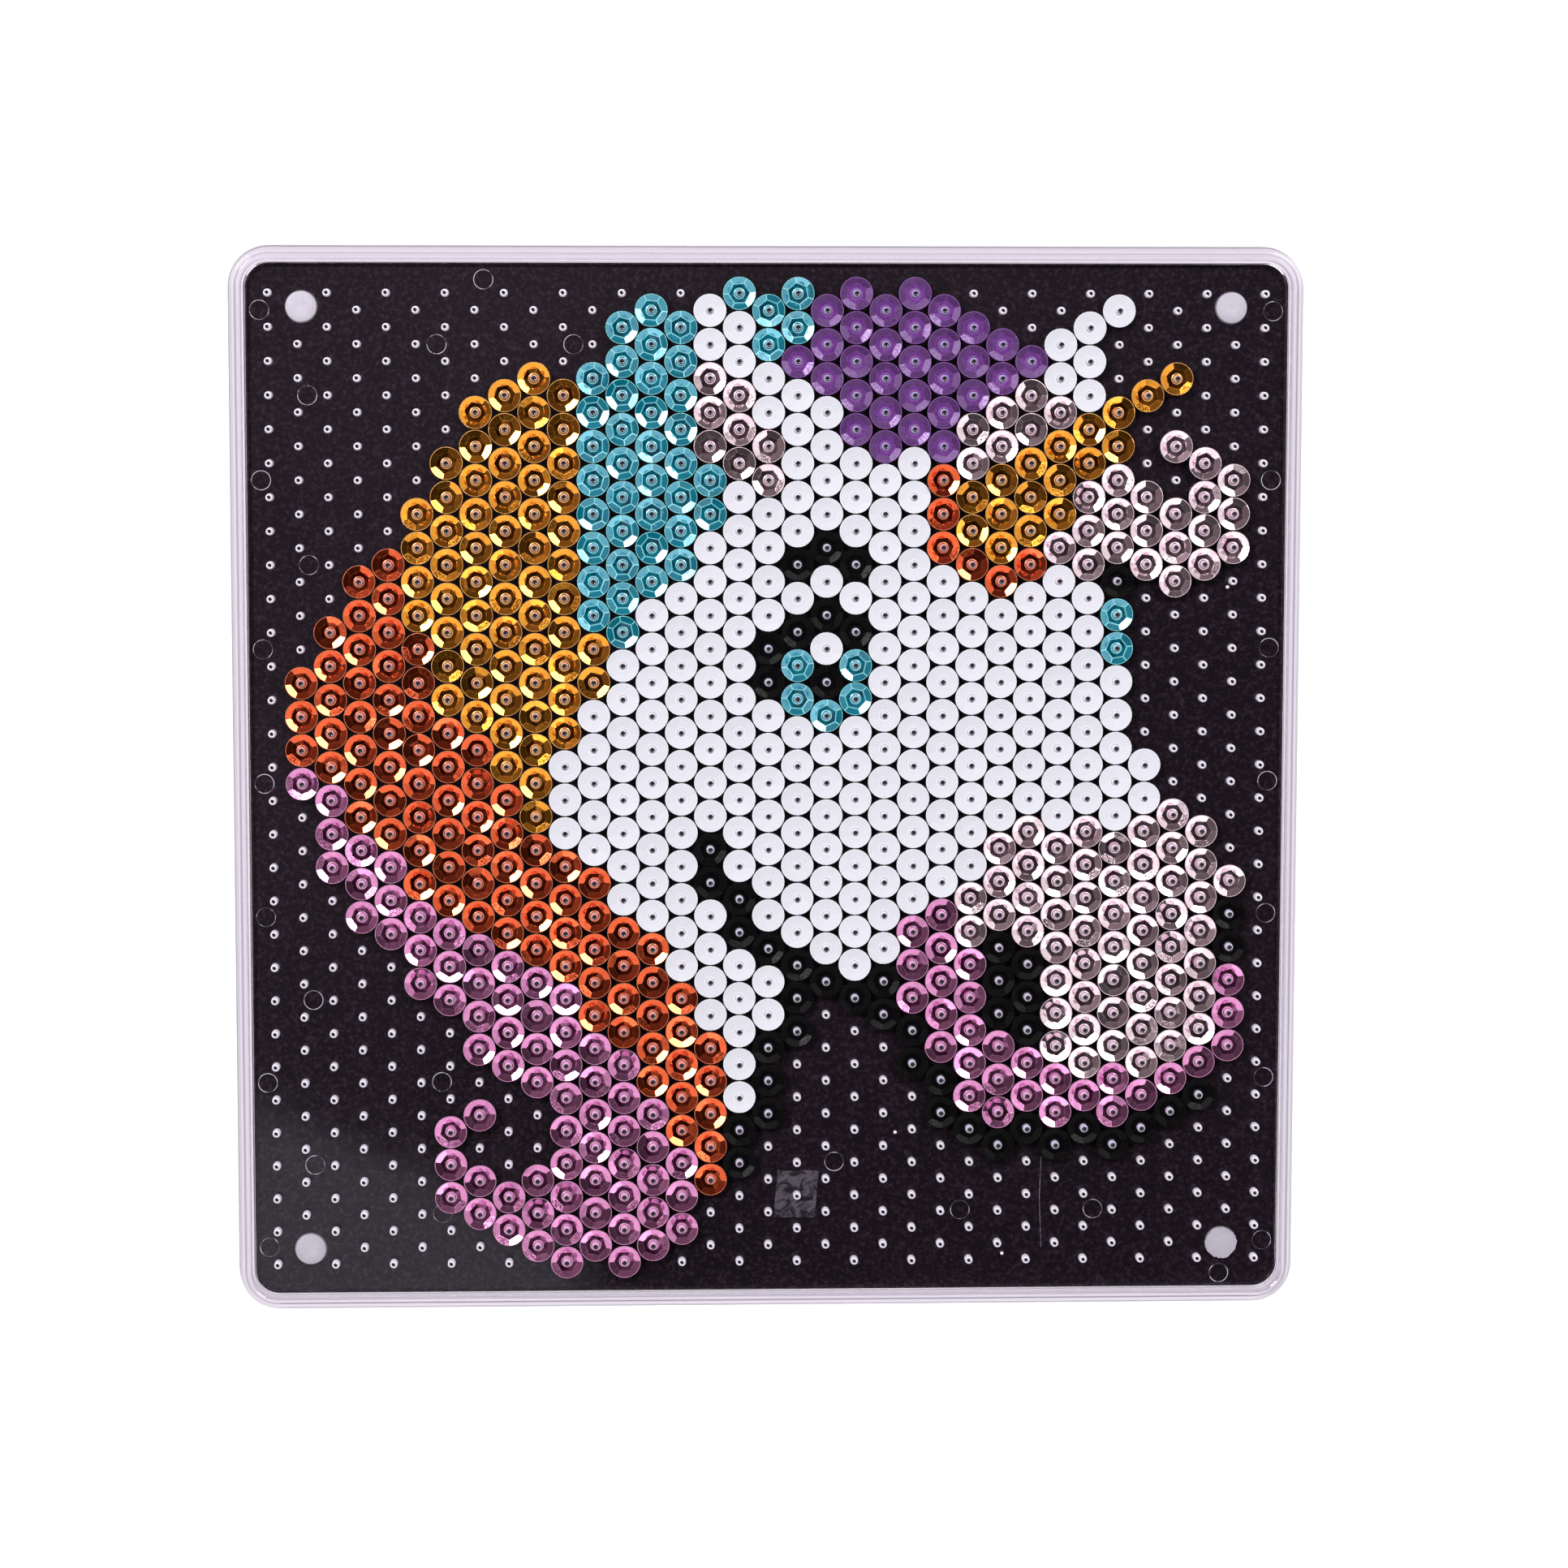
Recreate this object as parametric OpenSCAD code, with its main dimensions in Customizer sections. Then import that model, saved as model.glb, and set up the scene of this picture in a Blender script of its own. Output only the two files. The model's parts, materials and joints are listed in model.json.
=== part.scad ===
// Sequin peg picture: a clear board of fine pins over a black card in a clear tray,
// with cup sequins pushed onto the pins to make a unicorn's head.
// The board lies flat: X to the right of the picture, Y to its top, Z towards the viewer.

/* [Peg board] */
// Distance between neighbouring pins
pitch = 6; // [5.9:0.1:8]
// Thickness of the clear plate that carries the pins
plate_t = 1.2; // [1:0.1:2]
// Diameter of a pin
pin_d = 1.4; // [1:0.1:1.4]
// Height of a pin above its plate
pin_h = 2; // [1.6:0.1:3]
// Plate left free outside the first and last pin columns
side_margin = 3.8; // [3.5:0.1:8]
// Plate left free outside the first and last pin rows
end_margin = 5.1; // [4.5:0.1:8]

/* [Sequins] */
// Diameter of a sequin
sequin_d = 5.8; // [5.4:0.1:5.8]
// Diameter of the hole that fits over a pin
hole_d = 1.76; // [1.7:0.02:1.9]
// Depth of the sequin's cup
cup_h = 0.95; // [0.6:0.05:1.2]
// Film thickness, heavier than real film so that each sequin is a sound solid
film_t = 0.22; // [0.15:0.01:0.3]

/* [Card] */
// Thickness of the black card
card_t = 0.4; // [0.3:0.05:0.8]
// Diameter of the four holes in the card
card_hole_d = 5.9; // [5.8:0.1:6.4]

/* [Tray] */
// Thickness of the tray's floor
floor_t = 1; // [0.8:0.1:2]
// Width of the clear rim around the plate
rim_w = 3.35; // [3.2:0.05:5]
// Height of the rim
rim_h = 5.2; // [5:0.1:7]
// Outer corner radius of the rim
corner_r = 6.3; // [6:0.1:9]
// Diameter of the four studs that hold the card and the plate
stud_d = 5.5; // [5:0.1:5.5]
// How far each stud stands outside the place of its missing pin, towards the nearer end
stud_offset = 0.9; // [0.4:0.1:1.2]

/* [Hidden] */
columns = 35;
rows = 30;
round_fn = 64;
pin_fn = 24;
sequin_fn = 36;
gap = 0.2;        // all-round clearance of the plate
card_gap = 0.05;  // clearance of the card above the floor

column_step = pitch * sin(60);
plate_x = (columns - 1) * column_step + 2 * side_margin;
plate_y = (rows - 1) * pitch + 2 * end_margin;
plate_r = corner_r - rim_w + gap;
card_z = floor_t + card_gap;
plate_z = card_z + card_t + gap;
pin_z = plate_z + plate_t;
sequin_z = pin_z + 0.15;
sequin_hub_r = 0.68 * sequin_d / 2;  // where the flat middle turns up into the cup
stud_top = plate_z + 0.55;
socket_d = stud_d + 0.5;
socket_h = 0.8;

// A pin's place as [column, row], where odd columns sit half a pitch lower
function row_of(column, n) = n + (column % 2) / 2;
function place(peg) = [(peg[0] - (columns - 1) / 2) * column_step, ((rows - 1) / 2 - peg[1]) * pitch];

// Four pins are left out, and the studs stand a little outside their places
stud_pegs = [for (c = [1, columns - 2]) for (r = [0, rows - 2]) [c, row_of(c, r)]];
function stud_place(peg) = place(peg) + [-sign(place(peg)[0]) * 0.25, sign(place(peg)[1]) * stud_offset];
function is_stud(peg) = len([for (s = stud_pegs) if (s == peg) 1]) > 0;
pegs = [for (c = [0 : columns - 1]) for (n = [0 : rows - 1 - c % 2])
    let (peg = [c, row_of(c, n)]) if (!is_stud(peg)) peg];

// The picture, painted in this order, so a later shape covers an earlier one.
// An outline takes every pin inside it, and a line takes every pin that it passes through.
picture = [
    ["mane_magenta_sequins", "outline", [[0.6, 14.1], [6, 17], [11, 20.5], [14.6, 25], [14.5, 28.4],
        [12, 29.4], [9.6, 29.4], [9.6, 24.95], [1.6, 17.6], [1.4, 15.2], [0.6, 15.2]]],
    ["mane_curl_sequins", "outline", [[5.6, 24.8], [7.3, 24], [7.3, 24.9], [6.4, 25.3], [6.4, 26.2],
        [8, 26.6], [9.5, 26], [9.5, 29], [5.6, 27.3]]],
    ["mane_orange_sequins", "outline", [[0.6, 11.2], [3, 8.2], [4.4, 7.5], [8, 14], [15.5, 21.5],
        [15.5, 26.9], [14.5, 26.6], [14, 25.5], [12, 22.6], [11, 21.9], [10, 20.6], [9, 20.1],
        [5, 18.05], [4, 16.6], [3, 16.1], [2, 14.6], [0.6, 13.9]]],
    ["face_white_sequins", "outline", [[9.6, 13.5], [11, 10], [14.6, 5], [18, 4.6], [19.4, 5],
        [22.4, 4.6], [24, 5.5], [26, 8.6], [27.4, 8.1], [29.4, 9], [29.4, 13.2], [30.4, 13.6],
        [30.4, 15.4], [24, 18.6], [21, 20.9], [19, 20.9], [18, 19.9], [15, 16.1], [12, 17.4],
        [9.6, 16.4]]],
    ["neck_white_sequins", "outline", [[11.6, 17.6], [14.4, 16.6], [17.4, 20], [17.4, 24.6],
        [15.6, 24.6], [15.4, 22.1], [13, 19.1], [11.6, 18.3]]],
    ["ear_white_sequins", "outline", [[14.6, -0.3], [19.4, -0.3], [19.4, 5], [18, 4.6], [14.6, 4.6]]],
    ["mane_gold_sequins", "outline", [[4.6, 6.4], [7, 3.2], [9, 2.2], [10.5, 2.7], [10.5, 10.2],
        [11.5, 10.2], [11.5, 11.8], [10.5, 12], [10.4, 13.4], [9.6, 13.8], [9.3, 16], [8, 14.4],
        [7, 13], [5.7, 12.5], [5.6, 10], [4.6, 10]]],
    ["forelock_teal_sequins", "outline", [[10.6, 2.3], [12, 0.6], [13, 0.1], [14.4, 0.7], [14.4, 5],
        [15.4, 5.1], [15.4, 6.8], [14.4, 8.3], [13.2, 8.8], [12.4, 10.3], [11.6, 10.3], [10.6, 9.8]]],
    ["crown_teal_sequins", "outline", [[15.6, -0.3], [18.4, -0.4], [18.4, 1.3], [17, 1.8],
        [16.6, 0.8]]],
    ["forelock_purple_sequins", "outline", [[17.6, 1.9], [18.6, 0.2], [20, -0.4], [22.4, -0.4],
        [26.4, 1.8], [26.4, 2.2], [24.2, 3.5], [23.4, 4.9], [20.6, 4.9], [17.6, 2.1]]],
    ["ear_pink_sequins", "outline", [[14.6, 2.2], [15.4, 2.2], [17.3, 4], [17.3, 5.8], [16, 5.5],
        [14.6, 4.8]]],
    ["tuft_white_sequins", "line", [[27, 2.5], [27, 1.5], [29, 0.5]]],
    ["tuft_white_sequins", "line", [[28, 1], [28, 3]]],
    ["brow_pink_sequins", "line", [[24, 4], [26, 3]]],
    ["brow_pink_sequins", "line", [[24, 5], [27, 3.5]]],
    ["horn_gold_sequins", "outline", [[23.6, 5.8], [31.3, 2.1], [31.3, 2.6], [30, 3.4], [29.2, 4.8],
        [27.4, 5.8], [27.3, 6.8], [25, 7.9], [23.6, 7.3]]],
    ["horn_base_orange_sequins", "line", [[23, 5.5], [23, 7.5], [25, 8.5], [26, 8]]],
    ["fringe_pink_sequins", "outline", [[26.6, 7.3], [28, 5.6], [29, 5.1], [31, 6.1], [31.5, 5],
        [32, 4.6], [33.4, 5.1], [33.4, 7.8], [31, 8.9], [26.6, 8.3]]],
    ["fringe_pink_sequins", "line", [[31, 4.5], [32, 5]]],
    ["temple_black_sequins", "line", [[29, 8.5]]],
    ["temple_teal_sequins", "line", [[29, 9.5], [29, 10.5]]],
    ["eyebrow_black_sequins", "line", [[18, 8], [19, 7.5], [20, 8]]],
    ["lashes_black_sequins", "line", [[17, 11.5], [17, 10.5], [19, 9.5], [20, 10]]],
    ["iris_teal_sequins", "line", [[18, 11], [18, 12], [19, 12.5], [20, 12], [20, 11]]],
    ["pupil_black_sequins", "line", [[19, 11.5]]],
    ["lips_magenta_sequins", "outline", [[21.6, 18.8], [23, 18.1], [24.4, 19], [33.4, 20.1],
        [33.4, 22.9], [32, 23.5], [30, 24.6], [25, 24.9], [24, 24.4], [23, 22.9], [22, 21.5],
        [21.6, 21.3]]],
    ["muzzle_pink_sequins", "outline", [[23.6, 17.8], [25, 16], [30, 15.8], [31, 15.1], [32.4, 15.8],
        [33.4, 17.4], [33.4, 18], [32.4, 19], [32.4, 22.4], [31, 22.9], [30, 23.4], [29, 23.1],
        [28, 23.4], [26.6, 22.8], [26.6, 19.6], [25, 18.9], [24.4, 19.5], [23.6, 19.4]]],
    ["nostril_black_sequins", "line", [[25, 19.5], [25, 21.5]]],
    ["nostril_black_sequins", "line", [[26, 20], [26, 22]]],
    ["nose_black_sequins", "line", [[33, 18.5], [33, 19.5]]],
    ["cheek_line_black_sequins", "line", [[15, 16.5], [15, 17.5], [16, 18], [16, 19], [18, 20],
        [18, 22], [17, 22.5], [17, 24.5], [16, 25], [16, 26]]],
    ["jaw_line_black_sequins", "line", [[19, 20.5], [20, 21], [21, 20.5], [21, 21.5], [22, 22],
        [22, 23], [23, 23.5], [23, 24.5], [25, 25.5], [26, 25], [27, 25.5], [28, 25], [29, 25.5],
        [30, 25], [32, 24]]],
];

function crosses(p, a, b) = (a[1] > p[1]) != (b[1] > p[1])
    && p[0] < (b[0] - a[0]) * (p[1] - a[1]) / (b[1] - a[1]) + a[0];
function inside(p, outline) = len([for (i = [0 : len(outline) - 1])
    if (crosses(p, outline[i], outline[(i + 1) % len(outline)])) 1]) % 2 == 1;
function from_segment(p, a, b) = let (t = max(0, min(1, (p - a) * (b - a) / max((b - a) * (b - a), 0.01))))
    norm(p - a - t * (b - a));
function on_line(p, line) = len([for (i = [0 : len(line) - 1])
    if (from_segment(p, line[i], line[min(i + 1, len(line) - 1)]) < 0.2) 1]) > 0;
function covers(shape, p) = shape[1] == "outline" ? inside(p, shape[2]) : on_line(p, shape[2]);
function top_shape(p) = let (found = [for (shape = picture) if (covers(shape, p)) shape[0]])
    len(found) > 0 ? found[len(found) - 1] : "";
pegs_with_names = [for (p = pegs) [top_shape(p), p]];

GROUPS = [
    ["mane_gold_sequins", "goldenrod"],
    ["mane_orange_sequins", "orangered"],
    ["mane_magenta_sequins", "orchid"],
    ["mane_curl_sequins", "orchid"],
    ["forelock_teal_sequins", "darkturquoise"],
    ["crown_teal_sequins", "darkturquoise"],
    ["forelock_purple_sequins", "rebeccapurple"],
    ["ear_white_sequins", "white"],
    ["ear_pink_sequins", "mistyrose"],
    ["tuft_white_sequins", "white"],
    ["brow_pink_sequins", "mistyrose"],
    ["horn_gold_sequins", "goldenrod"],
    ["horn_base_orange_sequins", "orangered"],
    ["fringe_pink_sequins", "mistyrose"],
    ["temple_black_sequins", "black"],
    ["temple_teal_sequins", "darkturquoise"],
    ["face_white_sequins", "white"],
    ["neck_white_sequins", "white"],
    ["eyebrow_black_sequins", "black"],
    ["lashes_black_sequins", "black"],
    ["iris_teal_sequins", "darkturquoise"],
    ["pupil_black_sequins", "black"],
    ["muzzle_pink_sequins", "mistyrose"],
    ["nostril_black_sequins", "black"],
    ["nose_black_sequins", "black"],
    ["lips_magenta_sequins", "orchid"],
    ["cheek_line_black_sequins", "black"],
    ["jaw_line_black_sequins", "black"],
];

module rounded_plate(x, y, r, h) {
    translate([-x / 2 + r, -y / 2, 0]) cube([x - 2 * r, y, h]);
    translate([-x / 2, -y / 2 + r, 0]) cube([x, y - 2 * r, h]);
    for (sx = [-1, 1])
        for (sy = [-1, 1])
            translate([sx * (x / 2 - r), sy * (y / 2 - r), 0]) cylinder(r = r, h = h, $fn = round_fn);
}

// Section of the rim: the first number is the distance out from the centre of the corner's curve
module rim_section() {
    inner = corner_r - rim_w + gap;
    polygon([
        [inner, 0], [inner, rim_h - 1.3], [inner + 0.6, rim_h - 0.3], [inner + 1.3, rim_h],
        [inner + 1.5, rim_h - 0.3], [corner_r - 0.9, rim_h - 0.3], [corner_r - 0.5, rim_h - 0.8],
        [corner_r - 0.5, 1.4], [corner_r, 1.2], [corner_r, 0],
    ]);
}

module rim_side(length) {
    rotate([90, 0, 0]) translate([0, 0, -length / 2]) linear_extrude(length) rim_section();
}

module back_tray() color([0.9, 0.88, 0.94]) {
    x = plate_x + 2 * rim_w - 2 * corner_r;
    y = plate_y + 2 * rim_w - 2 * corner_r;
    rounded_plate(plate_x + 2 * gap + 0.4, plate_y + 2 * gap + 0.4, plate_r + 0.4, floor_t);
    for (side = [0, 180]) {
        rotate(side) translate([x / 2, 0, 0]) rim_side(y);
        rotate(side + 90) translate([y / 2, 0, 0]) rim_side(x);
        rotate(side) translate([x / 2, y / 2, 0]) rotate_extrude(angle = 90, $fn = round_fn) rim_section();
        rotate(side) translate([-x / 2, y / 2, 0]) rotate(90)
            rotate_extrude(angle = 90, $fn = round_fn) rim_section();
    }
    for (peg = stud_pegs)
        translate(concat(stud_place(peg), 0)) cylinder(d = stud_d, h = stud_top, $fn = round_fn);
}

module card_insert() color([0.11, 0.09, 0.11]) difference() {
    translate([0, 0, card_z]) rounded_plate(plate_x - 0.2, plate_y - 0.2, plate_r, card_t);
    for (peg = stud_pegs)
        translate(concat(stud_place(peg), card_z - 1)) cylinder(d = card_hole_d, h = card_t + 2, $fn = round_fn);
}

module pin_plate() color([0.86, 0.85, 0.92]) {
    difference() {
        translate([0, 0, plate_z]) rounded_plate(plate_x, plate_y, plate_r, plate_t);
        for (peg = stud_pegs)
            translate(concat(stud_place(peg), plate_z - 1)) cylinder(d = socket_d, h = socket_h + 1, $fn = round_fn);
    }
    for (peg = pegs)
        translate(concat(place(peg), pin_z - plate_t / 2)) cylinder(d = pin_d, h = pin_h + plate_t / 2, $fn = pin_fn);
}

module sequin() {
    rotate_extrude($fn = sequin_fn) polygon([
        [hole_d / 2, 0], [sequin_hub_r, 0.1], [sequin_d / 2, cup_h - 0.15], [sequin_d / 2, cup_h],
        [sequin_hub_r - 0.05, 0.1 + film_t], [hole_d / 2, film_t],
    ]);
}

module sequins(group) {
    color(group[1])
        for (entry = pegs_with_names)
            if (entry[0] == group[0])
                translate(concat(place(entry[1]), sequin_z)) sequin();
}

back_tray();
card_insert();
pin_plate();
for (group = GROUPS)
    sequins(group);
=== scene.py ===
"""Looks of the sequin peg picture: clear tray, black card, clear pin board and faceted cup sequins.

Lengths are metres in the CAD frame: X to the picture's right, Y to its top, Z up from the table.
"""

import json
import math

import bmesh
import bpy
import numpy as np
from mathutils import Matrix, Vector


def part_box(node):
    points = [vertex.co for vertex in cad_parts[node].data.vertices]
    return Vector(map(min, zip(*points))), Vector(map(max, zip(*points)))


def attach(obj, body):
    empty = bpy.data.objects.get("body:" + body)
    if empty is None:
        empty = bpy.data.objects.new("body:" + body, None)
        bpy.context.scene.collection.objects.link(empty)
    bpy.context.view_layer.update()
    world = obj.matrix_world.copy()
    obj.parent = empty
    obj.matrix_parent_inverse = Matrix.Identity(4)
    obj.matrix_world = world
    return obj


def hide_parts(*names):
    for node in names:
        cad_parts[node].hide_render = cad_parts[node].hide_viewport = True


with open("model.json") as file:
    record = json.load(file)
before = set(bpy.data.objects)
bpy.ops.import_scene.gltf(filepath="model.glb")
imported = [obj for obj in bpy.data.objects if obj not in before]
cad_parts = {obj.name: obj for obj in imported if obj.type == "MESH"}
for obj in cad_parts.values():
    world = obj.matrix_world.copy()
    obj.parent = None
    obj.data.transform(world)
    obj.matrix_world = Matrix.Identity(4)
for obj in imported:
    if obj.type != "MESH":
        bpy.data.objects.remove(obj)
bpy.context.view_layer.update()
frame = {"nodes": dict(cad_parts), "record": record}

MM = 0.001
rng = np.random.default_rng(11)

# ---------------------------------------------------------------- places, from the frame

PITCH = 6 * MM
COLUMN_STEP = PITCH * math.sin(math.radians(60))
plate_low, plate_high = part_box("pin_plate")
card_low, card_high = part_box("card_insert")
tray_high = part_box("back_tray")[1]
sequin_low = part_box("pupil_black_sequins")[0]
PLATE_T = 1.2 * MM
PLATE_TOP = plate_low.z + PLATE_T
PIN_TOP = plate_high.z
FLOOR_TOP = 1 * MM  # the inside of the tray
STUD_REACH = 0.55 * MM  # how far a stud goes up into the board
STUD_TOP = plate_low.z + STUD_REACH
NEAR = 0.01 * MM  # vertices this close in height are at one level
MIDDLE_COLUMN, MIDDLE_ROW = 17, 14.5


def vertices_of(node):
    """A CAD node's vertices as an array of points."""
    mesh = frame["nodes"][node].data
    points = np.zeros(len(mesh.vertices) * 3)
    mesh.vertices.foreach_get("co", points)
    return points.reshape(-1, 3)


def peg_centres(points):
    """The middle of each small ring of points round a peg, in a fixed order."""
    cells = np.round(points[:, :2] / (COLUMN_STEP, PITCH / 2)).astype(int)
    order, index = np.unique(cells, axis=0, return_inverse=True)
    centres = []
    for i in range(len(order)):
        ring = points[index.ravel() == i, :2]
        centres.append((ring.min(0) + ring.max(0)) / 2)
    return np.array(centres)


def sequin_centres(node):
    """Centres of a node's sequins, from the lowest ring of each, round its hole."""
    points = vertices_of(node)
    return peg_centres(points[points[:, 2] < sequin_low.z + NEAR])


def pin_centres():
    """Centres of the pins, from their flat tips."""
    points = vertices_of("pin_plate")
    return peg_centres(points[points[:, 2] > PIN_TOP - NEAR])


def stud_centres():
    """Centres of the tray's four studs, from their flat tops."""
    points = vertices_of("back_tray")
    tops = points[np.abs(points[:, 2] - STUD_TOP) < NEAR]
    centres = []
    for side_x in (-1, 1):
        for side_y in (-1, 1):
            ring = tops[(tops[:, 0] * side_x > 0) & (tops[:, 1] * side_y > 0), :2]
            centres.append(tuple((ring.min(0) + ring.max(0)) / 2))
    return centres


def peg_place(column, row):
    """A place on the board, counted in pin columns from the left and pins from the top."""
    return (column - MIDDLE_COLUMN) * COLUMN_STEP, (MIDDLE_ROW - row) * PITCH


# ---------------------------------------------------------------- node helpers


def tint(red, green, blue):
    """A display colour, 0 to 255, as the linear colour that a shader takes."""
    linear = [c / 12.92 if c <= 0.04045 else ((c + 0.055) / 1.055) ** 2.4
              for c in (red / 255, green / 255, blue / 255)]
    return (*linear, 1)


def new_material(name):
    """An empty node material and its tree."""
    made = bpy.data.materials.new(name)
    made.use_nodes = True
    made.node_tree.nodes.clear()
    return made, made.node_tree


def add(tree, kind, inputs=None, **settings):
    """A node with its settings, and its inputs linked or set."""
    made = tree.nodes.new(kind)
    for key, value in settings.items():
        setattr(made, key, value)
    for key, value in (inputs or {}).items():
        if isinstance(value, bpy.types.NodeSocket):
            tree.links.new(value, made.inputs[key])
        else:
            made.inputs[key].default_value = value
    return made


def calc(tree, operation, *values):
    """The result of a Math node."""
    return add(tree, "ShaderNodeMath", dict(enumerate(values)), operation=operation).outputs[0]


def band(tree, value, low, high, out_low=0.0, out_high=1.0):
    """value from low to high, mapped smoothly to out_low to out_high."""
    inputs = {"Value": value, "From Min": low, "From Max": high, "To Min": out_low, "To Max": out_high}
    return add(tree, "ShaderNodeMapRange", inputs, interpolation_type="SMOOTHSTEP").outputs["Result"]


def blend(tree, factor, first, second):
    """first where factor is 0 and second where it is 1, as colours."""
    made = tree.nodes.new("ShaderNodeMix")
    made.data_type = "RGBA"
    for key, value in (("Factor_Float", factor), ("A_Color", first), ("B_Color", second)):
        socket = next(s for s in made.inputs if s.identifier == key)
        if isinstance(value, bpy.types.NodeSocket):
            tree.links.new(value, socket)
        else:
            socket.default_value = value
    return next(s for s in made.outputs if s.identifier == "Result_Color")


def noise(tree, scale, detail=2.0, roughness=0.5, distortion=0.0):
    """Fractal noise in the object's own coordinates, scale per metre."""
    place = add(tree, "ShaderNodeTexCoord").outputs["Object"]
    inputs = {"Vector": place, "Scale": scale, "Detail": detail, "Roughness": roughness,
              "Distortion": distortion}
    return add(tree, "ShaderNodeTexNoise", inputs).outputs["Fac"]


def bump(tree, height, strength, distance):
    """A normal from a height."""
    inputs = {"Height": height, "Strength": strength, "Distance": distance}
    return add(tree, "ShaderNodeBump", inputs).outputs["Normal"]


def surface(tree, shader):
    """Ends the tree with this shader."""
    add(tree, "ShaderNodeOutputMaterial", {"Surface": shader})


# ---------------------------------------------------------------- sequin films

SEQUIN_R = 2.92 * MM
HEX_R = 0.66 * SEQUIN_R
HEX_APOTHEM = HEX_R * math.cos(math.radians(30))
HOLE_R = 0.83 * MM
LIP_R = 0.96 * MM
TIGHT_HOLE_R = 0.77 * MM
HUB_DEGREES = (2, 8)
FILM_T = 0.09 * MM
HIGHLIGHT_EDGES = (0.014, 0.048)  # a painted highlight along a crease fades out between these
RIM_HIGHLIGHT = (0.945, 0.975)  # shares of the radius between which the painted highlight on the rim sets in
HOLE_HIGHLIGHT = (0.33, 0.36)  # and between which the painted highlight round the hole fades out


def film_material(name, face, deep, line, metallic, roughness, mottle=0.5, crumple=0.12, spread=0.15,
                  coat=0.0, creases=0.15, gloss=0.5, outer=1.0):
    """Embossed film: a face colour with a deep one mottled in, heaviest in the hub as painted shade, and
    painted highlights along the creases, the rim and the hole.

    The attribute "cup" holds a point's place on its own sequin, as a share of the radius, and a number
    drawn for that sequin.
    """
    made, tree = new_material(name)
    cup = add(tree, "ShaderNodeAttribute", attribute_name="cup").outputs["Vector"]
    seed = add(tree, "ShaderNodeSeparateXYZ", {"Vector": cup}).outputs["Z"]
    reaches = []
    for degrees in (30, 90, 150):
        across = (math.cos(math.radians(degrees)), math.sin(math.radians(degrees)), 0)
        dot = add(tree, "ShaderNodeVectorMath", {0: cup, 1: across}, operation="DOT_PRODUCT").outputs["Value"]
        reaches.append(calc(tree, "ABSOLUTE", dot))
    first, second, third = reaches
    high = calc(tree, "MAXIMUM", calc(tree, "MAXIMUM", first, second), third)
    low = calc(tree, "MINIMUM", calc(tree, "MINIMUM", first, second), third)
    total = calc(tree, "ADD", calc(tree, "ADD", first, second), third)
    middle = calc(tree, "SUBTRACT", calc(tree, "SUBTRACT", total, high), low)
    flat = add(tree, "ShaderNodeVectorMath", {0: cup, 1: (1, 1, 0)}, operation="MULTIPLY").outputs["Vector"]
    reach = add(tree, "ShaderNodeVectorMath", {0: flat}, operation="LENGTH").outputs["Value"]

    apothem = HEX_APOTHEM / SEQUIN_R
    # Painted highlights: thin bands along the hexagon's sides, the spokes, the rim and the hole
    from_hexagon = calc(tree, "ABSOLUTE", calc(tree, "SUBTRACT", high, apothem))
    hexagon_highlight = band(tree, from_hexagon, *HIGHLIGHT_EDGES, 1.0, 0.0)
    outside = band(tree, high, apothem - 0.01, apothem + 0.01)
    from_spoke = calc(tree, "SUBTRACT", high, middle)
    spoke_highlight = calc(tree, "MULTIPLY", band(tree, from_spoke, *HIGHLIGHT_EDGES, 1.0, 0.0), outside)
    rim_highlight = band(tree, reach, *RIM_HIGHLIGHT)
    hole_highlight = band(tree, reach, *HOLE_HIGHLIGHT, 1.0, 0.0)
    crease_highlight = calc(tree, "MULTIPLY", calc(tree, "MAXIMUM", hexagon_highlight, spoke_highlight), creases)
    highlight_mask = calc(tree, "MAXIMUM", crease_highlight, calc(tree, "MAXIMUM", rim_highlight, hole_highlight))

    inner = calc(tree, "SUBTRACT", 1.0, outside)
    patches = band(tree, noise(tree, 420, 2.0, 0.6, 0.8), 0.4, 0.62)
    # Painted shade: the deep colour, mottled in at random patches, is heaviest in the hub inside the hexagon
    hub_shade_and_mottle = calc(tree, "MULTIPLY", calc(tree, "ADD", calc(tree, "MULTIPLY", patches, 0.7), 0.3),
                 calc(tree, "ADD", calc(tree, "MULTIPLY", inner, 0.75), 0.25))
    colour = blend(tree, calc(tree, "MULTIPLY", hub_shade_and_mottle, mottle), face, deep)
    tone = calc(tree, "ADD", calc(tree, "MULTIPLY", seed, spread), 1 - spread / 2)
    # Painted shade: the outer facets are darkened to the share outer of the tone in the hub
    tone = calc(tree, "MULTIPLY", tone, band(tree, inner, 0.0, 1.0, outer, 1.0))
    toned = add(tree, "ShaderNodeVectorMath", {0: colour, "Scale": tone}, operation="SCALE")
    # The painted highlight colour is blended in along these bands
    colour = blend(tree, calc(tree, "MULTIPLY", highlight_mask, 0.75), toned.outputs["Vector"], line)
    fine = noise(tree, 2600, 2.0)
    inputs = {
        "Base Color": colour,
        "Metallic": calc(tree, "MULTIPLY", metallic, band(tree, highlight_mask, 0.0, 1.0, 1.0, 0.35)),
        "Roughness": calc(tree, "ADD", calc(tree, "MULTIPLY", highlight_mask, 0.2),
                          band(tree, fine, 0.3, 0.7, roughness * 0.75, roughness * 1.3)),
        "Normal": bump(tree, noise(tree, 550, 2.0, 0.5), crumple, 0.04 * MM),
        "IOR": 1.5,
        "Specular IOR Level": gloss,
        "Coat Weight": coat,
        "Coat IOR": 2.2,
        "Coat Roughness": 0.12,
    }
    surface(tree, add(tree, "ShaderNodeBsdfPrincipled", inputs).outputs["BSDF"])
    return made


# Each film: face colour, deep colour, colour of its painted highlights, metallic and roughness
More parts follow.
